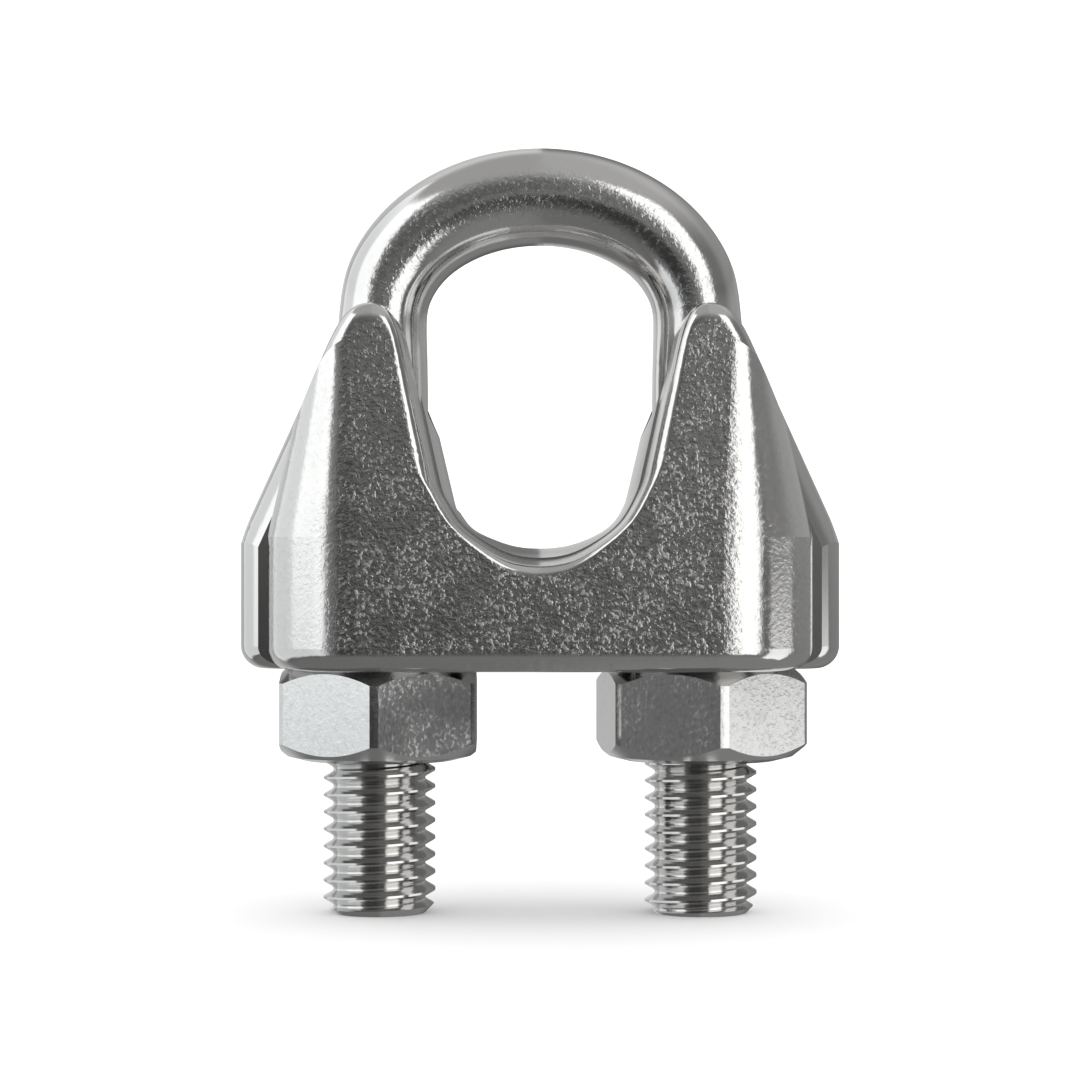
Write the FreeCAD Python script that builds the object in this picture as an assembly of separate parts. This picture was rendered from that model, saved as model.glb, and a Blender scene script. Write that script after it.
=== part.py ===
"""Wire rope clip for 13 mm rope: bent u-bolt, cast saddle and two hexagon nuts (M10)."""
import FreeCAD, Part
import math
import os

V = FreeCAD.Vector

# Heights are measured up from the plane of the two leg ends, x across the legs, y along the rope.
LEG_X = 14.13  # leg axis from the middle
SHANK_R = 4.28

# M10 x 1.5 right-hand thread
PITCH = 1.5
CREST_R = 4.92
ROOT_R = 4.02
CREST_HALF = 0.095  # half the flat of a crest, along the axis
ROOT_CURVE = 0.28  # each side of a root is rounded over this length
FLANK_SLOPE = math.sqrt(3)
THREAD_TOP = 30.0
END_CHAMFER = 0.95
# height of a thread crest on the +x side of each leg, which sets how the two threads stand
CREST_START = {"left": 0.61, "right": 0.35}

# arch of the u-bolt, an outer and an inner half ellipse
OUTER_HALF_WIDTH, OUTER_RISE, OUTER_SPRING = 17.7, 14.8, 52.4
INNER_HALF_WIDTH, INNER_RISE, INNER_SPRING = 9.95, 6.65, 52.0
ARCH_STEPS = 12
ARCH_HALF_DEPTH = 4.42
STRAIGHT_TOP = 43.0

# nuts
NUT_ACROSS_FLATS = 17.0
NUT_HEIGHT = 8.0
NUT_CORNER_R = 9.6  # the six corners are turned down to this
NUT_FOOT = ((6.6, 0.0), (8.1, 0.38))  # slightly coned lower face
NUT_FOOT_SLOPE = 0.8
NUT_TOP_R = 8.25
NUT_TOP_SLOPE = 0.83
NUT_CREST_R = 4.19
NUT_ROOT_R = 5.06
FLANK_GAP = 0.1  # along the axis, on each flank
NUT_MOUTH_R = 5.25
NUT_BASE_Z = 13.44  # leaves 0.06 under the saddle
NUT_TURN = {"left": 0.0, "right": 9.7}  # degrees from one corner facing the front

# saddle
BASE_Z = 21.5
HALF_DEPTH = 12.0
HOLE_R = 5.3
BASE_EDGE_R = 2.0
EDGE_R = 1.5  # rounding between front face and groove, and round the horns
SLANT = 0.447  # how far the horn flank leans in per mm of height
# vertical corners of the saddle's body in plan, as (height, centre x, radius)
BODY_CORNERS = ((BASE_Z + BASE_EDGE_R, 15.1, 8.6), (33.0, 15.1, 8.6), (54.0, 16.3, 1.9))
# parting rib that runs round the outline of the casting, on the middle plane
RIB_HALF_DEPTH = 4.6
RIB_R = 4.5
RIB_X = 21.8
JOIN_TOLERANCE = 0.001  # for the union of body and rib


def helix(radius, z):
    """One turn of the thread helix, right-hand, from the +x side up."""
    turn = Part.makeHelix(PITCH, PITCH, radius).Edges[0]
    turn.translate(V(0, 0, z))
    return turn


def threaded_rod(profile, start, low_turn, high_turn):
    """Solid screw: profile (offset along the axis, radius) of one pitch, carried round from
    low_turn to high_turn, with the crest on the +x side at height start plus whole pitches."""
    root = profile[0][1]
    faces = []
    for turn in range(low_turn, high_turn):
        lines = [helix(radius, start + turn * PITCH + offset) for offset, radius in profile]
        faces += [Part.makeRuledSurface(a, b) for a, b in zip(lines, lines[1:])]
    for turn in (low_turn, high_turn):
        middle = start + turn * PITCH
        low, high = V(0, 0, middle - PITCH / 2), V(0, 0, middle + PITCH / 2)
        faces.append(Part.makeRuledSurface(helix(root, low.z), Part.makeLine(low, high)))
        cut = [V(radius, 0, middle + offset) for offset, radius in profile]
        faces.append(Part.Face(Part.makePolygon([low] + cut + [high, low])))
    shell = Part.makeShell(faces)
    shell.sewShape()
    return Part.Solid(shell)


def both_flanks(half):
    """Whole profile of one pitch from its half, given from the root to the crest."""
    return [(-offset, radius) for offset, radius in half] + list(reversed(half))


def turned(points):
    """Solid of revolution about the z axis from (radius, height) points."""
    outline = Part.makePolygon([V(r, 0, z) for r, z in points + points[:1]])
    return Part.Face(outline).revolve(V(0, 0, 0), V(0, 0, 1), 360)


def threaded_leg(side):
    half = []
    for share in (0, 0.5, 1):
        half.append((PITCH / 2 - ROOT_CURVE * share,
                     ROOT_R + FLANK_SLOPE * ROOT_CURVE / 2 * share ** 2))
    half.append((CREST_HALF, CREST_R))
    rod = threaded_rod(both_flanks(half), CREST_START[side], -2, 21)
    envelope = turned([
        (0, 0), (CREST_R + 0.03 - END_CHAMFER, 0), (CREST_R + 0.03, END_CHAMFER),
        (CREST_R + 0.03, THREAD_TOP - 0.8), (SHANK_R - 0.08, THREAD_TOP), (0, THREAD_TOP),
    ])
    shank = turned([
        (0, THREAD_TOP - 2), (3.9, THREAD_TOP - 2), (SHANK_R, THREAD_TOP + 0.1),
        (SHANK_R, STRAIGHT_TOP), (0, STRAIGHT_TOP),
    ])
    return rod.common(envelope).fuse(shank)


def rod_section(outer, inner, half_depth):
    """Oval section of the bent rod between an outer and an inner point of the arch."""
    middle = (outer + inner) * 0.5
    oval = Part.Ellipse(middle + V(0, half_depth, 0), outer, middle)
    return Part.Wire([oval.toShape()])


def arch():
    leg = []
    for z, middle, radius in ((STRAIGHT_TOP, LEG_X, SHANK_R), (45.0, LEG_X, SHANK_R),
                              (48.5, 14.0, 4.1)):
        leg.append((V(middle + radius, 0, z), V(middle - radius, 0, z), SHANK_R + 1e-9))
    spans = []
    for step in range(ARCH_STEPS + 1):
        angle = math.pi * step / ARCH_STEPS
        outer = V(OUTER_HALF_WIDTH * math.cos(angle), 0, OUTER_SPRING + OUTER_RISE * math.sin(angle))
        inner = V(INNER_HALF_WIDTH * math.cos(angle), 0, INNER_SPRING + INNER_RISE * math.sin(angle))
        spans.append((outer, inner, ARCH_HALF_DEPTH))
    far_leg = [(V(-o.x, 0, o.z), V(-i.x, 0, i.z), d) for o, i, d in reversed(leg)]
    return Part.makeLoft([rod_section(*span) for span in leg + spans + far_leg], True)


def u_bolt():
    body = arch()
    for side, x in (("left", -LEG_X), ("right", LEG_X)):
        leg = threaded_leg(side)
        leg.translate(V(x, 0, 0))
        body = body.fuse(leg)
    return body


def nut(side, x):
    apothem = NUT_ACROSS_FLATS / 2
    corner = apothem / math.cos(math.pi / 6)
    corners = []
    for i in range(7):
        angle = math.radians(60 * i - 90 + NUT_TURN[side])
        corners.append(V(corner * math.cos(angle), corner * math.sin(angle), 0))
    prism = Part.Face(Part.makePolygon(corners)).extrude(V(0, 0, NUT_HEIGHT))
    foot_rise = (NUT_CORNER_R - NUT_FOOT[1][0]) * NUT_FOOT_SLOPE + NUT_FOOT[1][1]
    top_drop = (NUT_CORNER_R - NUT_TOP_R) * NUT_TOP_SLOPE
    blank = turned([(0, 0), *NUT_FOOT, (NUT_CORNER_R, foot_rise),
                    (NUT_CORNER_R, NUT_HEIGHT - top_drop), (NUT_TOP_R, NUT_HEIGHT), (0, NUT_HEIGHT)])
    body = prism.common(blank)
    body.translate(V(0, 0, NUT_BASE_Z))
    waist = NUT_CREST_R - 0.1
    mouth = NUT_MOUTH_R - waist
    throat = turned([(0, 0), (NUT_MOUTH_R, 0), (waist, mouth), (waist, NUT_HEIGHT - mouth),
                     (NUT_MOUTH_R, NUT_HEIGHT), (0, NUT_HEIGHT)])
    throat.translate(V(0, 0, NUT_BASE_Z))
    outer_half = CREST_HALF + FLANK_GAP - (NUT_ROOT_R - CREST_R) / FLANK_SLOPE
    inner_half = CREST_HALF + FLANK_GAP + (CREST_R - NUT_CREST_R) / FLANK_SLOPE
    half = [(PITCH / 2, NUT_CREST_R), (inner_half, NUT_CREST_R), (outer_half, NUT_ROOT_R)]
    tap = threaded_rod(both_flanks(half), CREST_START[side], 7, 16)
    body = body.cut(tap).cut(throat)
    body.translate(V(x, 0, 0))
    return body


def blend(waist, rim, share):
    """Point of the front outline, share of the way from the waist to the rim."""
    return (waist[0] + (rim[0] - waist[0]) * share, waist[1] + (rim[1] - waist[1]) * share)


# right half of the front outline: on the middle plane, and drawn in towards the front face
SHOULDER = ((26.75, 31.9), (26.75, 28.2))
FLANK_END = ((18.6, 49.9), (17.63, 48.4))
TIP = ((14.3, 53.9), (14.3, 51.9))
WALL_TOP = ((10.77, 50.0), (11.83, 49.0))
GROOVE = (
    ((7.6, 36.5), (9.9, 39.5)),
    ((7.1, 35.25), (8.8, 36.6)),
    ((6.35, 34.2), (7.5, 34.4)),
    ((4.75, 33.1), (5.3, 32.4)),
    ((2.5, 32.27), (2.5, 30.75)),
    ((0.0, 32.0), (0.0, 30.35)),
)
FLANK_INSET = 1.5  # square to the flank, between the two outlines above


def front_outline(y, flank_share, groove_share):
    """Closed outline of the saddle seen from the front, at depth y."""
    shoulder, flank_end, tip = [blend(*pair, flank_share) for pair in (SHOULDER, FLANK_END, TIP)]
    wall_top = blend(*WALL_TOP, groove_share)
    groove = [blend(*pair, groove_share) for pair in GROOVE]
    side_top = (shoulder[0] + 0.1, shoulder[1] - 2.8)
    flank_start = (shoulder[0] - 3.2 * SLANT, shoulder[1] + 3.2)
    wall_lean = (wall_top[0] - groove[0][0]) / (wall_top[1] - groove[0][1])

    def at(point, side):
        return V(side * point[0], y, point[1])

    def curve(poles, side):
        bend = Part.BezierCurve()
        bend.setPoles([at(pole, side) for pole in poles])
        return bend.toShape()

    def half(side):
        return [
            Part.makeLine(at((27.4, 20.0), side), at(side_top, side)),
            curve([side_top, shoulder, flank_start], side),
            Part.makeLine(at(flank_start, side), at(flank_end, side)),
            curve([flank_end, (flank_end[0] - 2.6 * SLANT, flank_end[1] + 2.6),
                   (tip[0] + 1.8, tip[1]), tip], side),
            curve([tip, (tip[0] - 1.5, tip[1]),
                   (wall_top[0] + 1.9 * wall_lean, wall_top[1] + 1.9), wall_top], side),
            Part.makeLine(at(wall_top, side), at(groove[0], side)),
        ]

    bottom = Part.BSplineCurve()
    bottom.interpolate([at(p, 1) for p in groove] + [at(p, -1) for p in reversed(groove[:-1])],
                       InitialTangent=V(-wall_lean, 0, -1), FinalTangent=V(-wall_lean, 0, 1))
    base = Part.makeLine(at((27.4, 20.0), -1), at((27.4, 20.0), 1))
    return Part.Wire([base] + half(1) + [bottom.toShape()] + list(reversed(half(-1))))


def front_loft(levels, ruled=False):
    return Part.makeLoft([front_outline(*level) for level in levels], True, ruled)


def plan_outline(z, half_depth, centre_x, radius, inset=0.0):
    """Closed outline seen from above: a rectangle with rounded corners, drawn in by inset."""
    centre_y = half_depth - radius
    radius -= inset
    diagonal = radius * math.sqrt(0.5)
    points = []
    for sx, sy in ((1, -1), (1, 1), (-1, 1), (-1, -1)):
        arc = [V(sx * centre_x, sy * (centre_y + radius), z),
               V(sx * (centre_x + diagonal), sy * (centre_y + diagonal), z),
               V(sx * (centre_x + radius), sy * centre_y, z)]
        points.append(arc if sx != sy else arc[::-1])
    edges = []
    for arc, following in zip(points, points[1:] + points[:1]):
        edges.append(Part.Arc(*arc).toShape())
        edges.append(Part.makeLine(arc[2], following[0]))
    return Part.Wire(edges)


def upright_block(half_depth, corners):
    """Block through corners (height, centre x, radius), with its lower edge rounded."""
    foot = []
    for degrees in (0, 30, 60, 90):
        angle = math.radians(degrees)
        foot.append(plan_outline(BASE_Z + BASE_EDGE_R * (1 - math.cos(angle)), half_depth,
                                 *corners[0][1:], BASE_EDGE_R * (1 - math.sin(angle))))
    block = Part.makeLoft(foot, True)
    for low, high in zip(corners, corners[1:]):
        block = block.fuse(Part.makeLoft([plan_outline(z, half_depth, x, radius)
                                          for z, x, radius in (low, high)], True, True))
    return block


def saddle_body():
    """The casting without its rib: drafted groove walls and rounded rims."""
    wall_end = HALF_DEPTH - EDGE_R
    front = None
    for side in (-1, 1):
        rim = []
        for degrees in (0, 30, 60, 90):
            angle = math.radians(degrees)
            bend = 1 - math.cos(angle)
            rim.append((side * (wall_end + EDGE_R * math.sin(angle)),
                        0.5 + bend, 0.75 + 0.75 * bend))
        half = front_loft([(0.0, 0.4, 0.5), (side * wall_end, 0.5, 0.75)], True)
        half = half.fuse(front_loft(rim))
        front = front.fuse(half) if front else half
    return front.common(upright_block(HALF_DEPTH + 0.01, BODY_CORNERS))


def saddle_rib():
    """The rounded rib on the parting plane, round the outline and across the groove."""
    levels = []
    for y in (0.0, 1.2, 2.2, 3.0, 3.7):
        flank_share = (RIB_R - math.sqrt(RIB_R ** 2 - y ** 2)) / FLANK_INSET
        levels.append((y, flank_share, 0.035 * y ** 2))
    far = [(-y, flank, groove) for y, flank, groove in reversed(levels[1:])]
    corner = (RIB_X, RIB_R)
    block = upright_block(RIB_HALF_DEPTH, [(BASE_Z + BASE_EDGE_R, *corner), (56.0, *corner)])
    return front_loft(far + levels).common(block)


def saddle():
    body = saddle_body().Solids[0].fuse([saddle_rib().Solids[0]], JOIN_TOLERANCE)
    for x in (-LEG_X, LEG_X):
        body = body.cut(Part.makeCylinder(HOLE_R, 60, V(x, 0, 0)))
    return body


os.makedirs("parts", exist_ok=True)
PIECES = {
    "u_bolt": u_bolt(),
    "saddle": saddle(),
    "nut_left": nut("left", -LEG_X),
    "nut_right": nut("right", LEG_X),
}
for name, shape in PIECES.items():
    shape.exportStep("parts/" + name + ".step")
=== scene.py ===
"""Looks of the wire rope clip: cast, rolled and pressed stainless steel under soft studio light."""

import math

import bpy
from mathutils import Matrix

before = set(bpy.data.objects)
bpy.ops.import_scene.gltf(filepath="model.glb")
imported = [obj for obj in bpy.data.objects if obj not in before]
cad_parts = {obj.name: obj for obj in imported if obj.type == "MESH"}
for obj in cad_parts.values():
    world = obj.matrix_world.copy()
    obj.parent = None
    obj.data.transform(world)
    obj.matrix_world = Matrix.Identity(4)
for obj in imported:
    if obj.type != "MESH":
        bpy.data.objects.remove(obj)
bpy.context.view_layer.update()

MM = 0.001

STEEL = (0.62, 0.615, 0.605)
NUT_STEEL = (0.62, 0.62, 0.615)
DULL = 0.8  # brightness of the low spots, against the steel's own

PEBBLE_SIZE = 0.48 * MM
FLECK_SIZE = 0.36 * MM
CLOUD_SIZE = 4.0 * MM  # patches where the skin is more or less worn
DRAWN_SIZE = 0.25 * MM  # fine lines left by drawing, nine times as long as wide
DRAWN_DEPTH = 0.004 * MM
CAST_DEPTH = 0.03 * MM
NUT_DEPTH = 0.012 * MM

RIB_EDGE = (4.6 * MM, 5.2 * MM)  # the rib is smooth; outside it the skin begins
END_START = (14 * MM, 16 * MM)  # where the rounded ends of the saddle begin, from the middle
HORN_FADE = (52 * MM, 30 * MM)  # heights between which the skin gets stronger
BOW_START = (46 * MM, 52 * MM)  # heights between which the bow's skin comes in


# ---------------------------------------------------------------- node helpers

class Tree:
    """Short calls that add nodes to a node tree. Inputs may be sockets or numbers."""

    def __init__(self, tree):
        self.tree = tree
        tree.nodes.clear()

    def node(self, kind, **settings):
        made = self.tree.nodes.new(kind)
        for key, value in settings.items():
            setattr(made, key, value)
        return made

    def set(self, socket, value):
        if isinstance(value, bpy.types.NodeSocket):
            self.tree.links.new(value, socket)
        else:
            socket.default_value = value

    def math(self, operation, a, b=0.0, c=0.0, clamp=False):
        made = self.node("ShaderNodeMath", operation=operation, use_clamp=clamp)
        for socket, value in zip(made.inputs, (a, b, c)):
            self.set(socket, value)
        return made.outputs[0]

    def step(self, value, low, high, out_low=0.0, out_high=1.0):
        """Smooth change from out_low to out_high as value goes from low to high."""
        made = self.node("ShaderNodeMapRange", interpolation_type="SMOOTHSTEP")
        for name, number in (("Value", value), ("From Min", low), ("From Max", high),
                             ("To Min", out_low), ("To Max", out_high)):
            self.set(made.inputs[name], number)
        return made.outputs["Result"]

    def window(self, value, low, high, soft):
        """1 between low and high, falling to 0 over soft on both sides."""
        rise = self.step(value, low - soft, low + soft)
        fall = self.step(value, high - soft, high + soft, 1.0, 0.0)
        return self.math("MULTIPLY", rise, fall)

    def total(self, values):
        result = values[0]
        for value in values[1:]:
            result = self.math("ADD", result, value)
        return result

    def split(self, vector):
        made = self.node("ShaderNodeSeparateXYZ")
        self.set(made.inputs[0], vector)
        return made.outputs

    def noise(self, where, size, detail=2.0, roughness=0.5, stretch=None):
        """Noise with features about size metres across; stretch makes them longer along an axis."""
        if stretch:
            mapping = self.node("ShaderNodeMapping")
            mapping.inputs["Scale"].default_value = [1 / s for s in stretch]
            self.set(mapping.inputs["Vector"], where)
            where = mapping.outputs[0]
        made = self.node("ShaderNodeTexNoise")
        self.set(made.inputs["Vector"], where)
        made.inputs["Scale"].default_value = 1 / size
        made.inputs["Detail"].default_value = detail
        made.inputs["Roughness"].default_value = roughness
        return made.outputs["Fac"]

    def blend(self, share, a, b):
        made = self.node("ShaderNodeMix", data_type="RGBA")
        self.set(made.inputs["Factor"], share)
        self.set(made.inputs["A"], (*a, 1) if isinstance(a, tuple) else a)
        self.set(made.inputs["B"], (*b, 1) if isinstance(b, tuple) else b)
        return made.outputs["Result"]

    def bump(self, height, distance, strength=1.0, below=None):
        made = self.node("ShaderNodeBump")
        self.set(made.inputs["Height"], height)
        self.set(made.inputs["Strength"], strength)
        made.inputs["Distance"].default_value = distance
        if below is not None:
            self.set(made.inputs["Normal"], below)
        return made.outputs["Normal"]


# ---------------------------------------------------------------- materials

def new_material(name):
    material = bpy.data.materials.new(name)
    material.use_nodes = True
    tree = Tree(material.node_tree)
    shader = tree.node("ShaderNodeBsdfPrincipled")
    out = tree.node("ShaderNodeOutputMaterial")
    tree.tree.links.new(shader.outputs[0], out.inputs["Surface"])
    shader.inputs["Metallic"].default_value = 1.0
    place = tree.node("ShaderNodeTexCoord")
    return material, tree, shader, place.outputs["Object"], place.outputs["Normal"]


def steel(tree, shader, where, grain, colour=STEEL, rough=0.13, depth=CAST_DEPTH):
    """Bright stainless steel; where grain rises to 1 it carries the pebbled skin of tumbling."""
    pebble = tree.noise(where, PEBBLE_SIZE, 2.0, 0.6)
    cloud = tree.noise(where, CLOUD_SIZE, 2.0)
    flecks = tree.step(tree.noise(where, FLECK_SIZE, 2.5, 0.6), 0.47, 0.75)
    flecks = tree.math("MULTIPLY", flecks, tree.step(cloud, 0.3, 0.6, 0.45, 1.2))
    drawn = tree.noise(where, DRAWN_SIZE, 2.0, 0.5, (1, 1, 9))
    normal = tree.bump(drawn, DRAWN_DEPTH, 0.6)
    height = tree.math("MULTIPLY_ADD", flecks, 0.7, pebble)
    normal = tree.bump(height, depth, grain, normal)
    skin = tree.math("MULTIPLY", grain, tree.math("MULTIPLY_ADD", flecks, 0.7, 0.1))
    rough = tree.math("MULTIPLY_ADD", skin, 0.36, rough)
    rough = tree.math("MULTIPLY_ADD", tree.math("SUBTRACT", cloud, 0.5), 0.1, rough)
    tree.set(shader.inputs["Roughness"], rough)
    tree.set(shader.inputs["Normal"], normal)
    worn = tree.math("MULTIPLY", grain, tree.step(pebble, 0.5, 0.34))
    dull = tuple(DULL * channel for channel in colour)
    tree.set(shader.inputs["Base Color"], tree.blend(worn, colour, dull))


def saddle_material():
    material, tree, shader, where, facing = new_material("saddle_cast_steel")
    x, y, z = tree.split(where)
    _, ny, nz = tree.split(facing)
    front = tree.step(tree.math("ABSOLUTE", ny), 0.95, 0.99)
    off_rib = tree.step(tree.math("ABSOLUTE", y), *RIB_EDGE)
    upright = tree.step(tree.math("ABSOLUTE", nz), 0.35, 0.15)
    outside = tree.step(tree.math("ABSOLUTE", x), *END_START)
    corner = tree.math("MULTIPLY", tree.math("MULTIPLY", upright, outside), 0.25)
    grain = tree.math("MULTIPLY", tree.math("MAXIMUM", front, corner), off_rib)
    grain = tree.math("MULTIPLY", grain, tree.step(z, *HORN_FADE, 0.85, 1.0))
    steel(tree, shader, where, grain)
    return material


def rod_material():
    material, tree, shader, where, facing = new_material("u_bolt_rolled_steel")
    _, _, z = tree.split(where)
    _, ny, _ = tree.split(facing)
    front = tree.step(tree.math("ABSOLUTE", ny), 0.8, 0.98)
    bow = tree.step(z, *BOW_START)
    grain = tree.math("MULTIPLY", tree.math("MULTIPLY", front, bow), 0.6)
    steel(tree, shader, where, grain)
    return material


def nut_material():
    material, tree, shader, where, facing = new_material("nut_pressed_steel")
    _, _, nz = tree.split(facing)
    grain = tree.step(tree.math("ABSOLUTE", nz), 0.3, 0.1, 0.0, 0.4)
    steel(tree, shader, where, grain, NUT_STEEL, 0.12, NUT_DEPTH)
    return material


def dress(node, material):
    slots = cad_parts[node].data.materials
    slots.clear()
    slots.append(material)


dress("saddle", saddle_material())
dress("u_bolt", rod_material())
nut_steel = nut_material()
dress("nut_left", nut_steel)
dress("nut_right", nut_steel)


# ---------------------------------------------------------------- studio

# Soft boxes round the object, as directions: azimuth from the front, positive to the right,
# and elevation, in degrees; then the softness of the edges, the strength and the colour.
SOFT_BOXES = (
    (-135, -46, -30, 55, 3, 0.9, (0.95, 0.985, 1.0)),
    (-93, -46, -2, 55, 3, 0.55, (1.0, 1.0, 0.99)),
    (-200, -135, -30, 55, 12, 0.55, (1.0, 1.0, 1.0)),
    (-60, -34, -30, 30, 6, 0.14, (1.0, 1.0, 1.0)),
    (19, 53, -25, 50, 3, 1.6, (1.0, 1.0, 0.99)),
    (66, 100, -40, -1.5, 1.5, 1.2, (1.0, 1.0, 1.0)),
    (100, 160, -30, 60, 15, 0.15, (1.0, 1.0, 1.0)),
)
STRIP = (1, 12, 3, 0.16)  # a low strip all round: elevations, softness and strength
RIGHT_HALF = (-6, 8, 0.08)  # azimuths between which the right side gets lighter, and by how much
BY_HEIGHT = ((8, 20, 0.1), (30, 60, 0.35), (-15, -45, 0.16))  # the same by elevation
FRONT = 0.05  # what the dark camera side still gives
ROOM = 1.3  # white room, seen by the camera and lighting the floor

FLOOR_HALF = 1.5  # metres from the middle to each edge
FLOOR_WHITE = (0.93, 0.93, 0.93, 1)


def studio():
    world = bpy.data.worlds.new("studio")
    bpy.context.scene.world = world
    world.use_nodes = True
    # Without this the metals would also be lit directly by the white room.
    world.cycles.sampling_method = "NONE"
    tree = Tree(world.node_tree)
    where = tree.node("ShaderNodeTexCoord").outputs["Generated"]
    x, y, z = tree.split(where)
    degrees = 180 / math.pi
    azimuth = tree.math("MULTIPLY", tree.math("ARCTAN2", x, tree.math("MULTIPLY", y, -1.0)), degrees)
    elevation = tree.math("MULTIPLY", tree.math("ARCSINE", z), degrees)
    *strip, strip_strength = STRIP
    parts = [tree.math("MULTIPLY", tree.window(elevation, *strip), strip_strength)]
    for angle, (low, high, strength) in [(azimuth, RIGHT_HALF)] + [(elevation, r) for r in BY_HEIGHT]:
        parts.append(tree.step(angle, low, high, 0.0, strength))
    glow = tree.total(parts + [FRONT])
    for left, right, low, high, soft, strength, tint in SOFT_BOXES:
        shape = tree.math("MULTIPLY", tree.window(azimuth, left, right, soft),
                          tree.window(elevation, low, high, soft))
        box = tree.node("ShaderNodeVectorMath", operation="SCALE")
        box.inputs[0].default_value = [channel * strength for channel in tint]
        tree.set(box.inputs["Scale"], shape)
        added = tree.node("ShaderNodeVectorMath", operation="ADD")
        tree.set(added.inputs[0], glow)
        tree.set(added.inputs[1], box.outputs[0])
        glow = added.outputs[0]
    ray = tree.node("ShaderNodeLightPath").outputs["Is Glossy Ray"]
    background = tree.node("ShaderNodeBackground")
    tree.set(background.inputs["Color"], tree.blend(ray, (ROOM, ROOM, ROOM), glow))
    out = tree.node("ShaderNodeOutputWorld")
    tree.tree.links.new(background.outputs[0], out.inputs["Surface"])


def floor():
    half = FLOOR_HALF
    mesh = bpy.data.meshes.new("studio_floor")
    corners = [(-half, -half, 0), (half, -half, 0), (half, half, 0), (-half, half, 0)]
    mesh.from_pydata(corners, [], [(0, 1, 2, 3)])
    plane = bpy.data.objects.new("studio_floor", mesh)
    bpy.context.scene.collection.objects.link(plane)
    material = bpy.data.materials.new("studio_floor_white")
    material.use_nodes = True
    shader = material.node_tree.nodes["Principled BSDF"]
    shader.inputs["Base Color"].default_value = FLOOR_WHITE
    shader.inputs["Roughness"].default_value = 1.0
    shader.inputs["Specular IOR Level"].default_value = 0.0
    mesh.materials.append(material)
    plane.visible_glossy = False


CAMERA_DISTANCE = 0.288
CAMERA_HEIGHT = 0.03275
VIEW_WIDTH = 0.09507  # width of the picture in the plane of the legs
SENSOR_MM = 36.0


def camera():
    data = bpy.data.cameras.new("camera")
    data.sensor_width = SENSOR_MM
    data.lens = SENSOR_MM * CAMERA_DISTANCE / VIEW_WIDTH
    data.clip_start = 0.01
    data.clip_end = 20
    made = bpy.data.objects.new("camera", data)
    made.location = (0, -CAMERA_DISTANCE, CAMERA_HEIGHT)
    made.rotation_euler = (math.radians(90), 0, 0)
    bpy.context.scene.collection.objects.link(made)
    bpy.context.scene.camera = made


studio()
floor()
camera()
bpy.context.scene.view_settings.view_transform = "Standard"
bpy.context.scene.view_settings.look = "None"
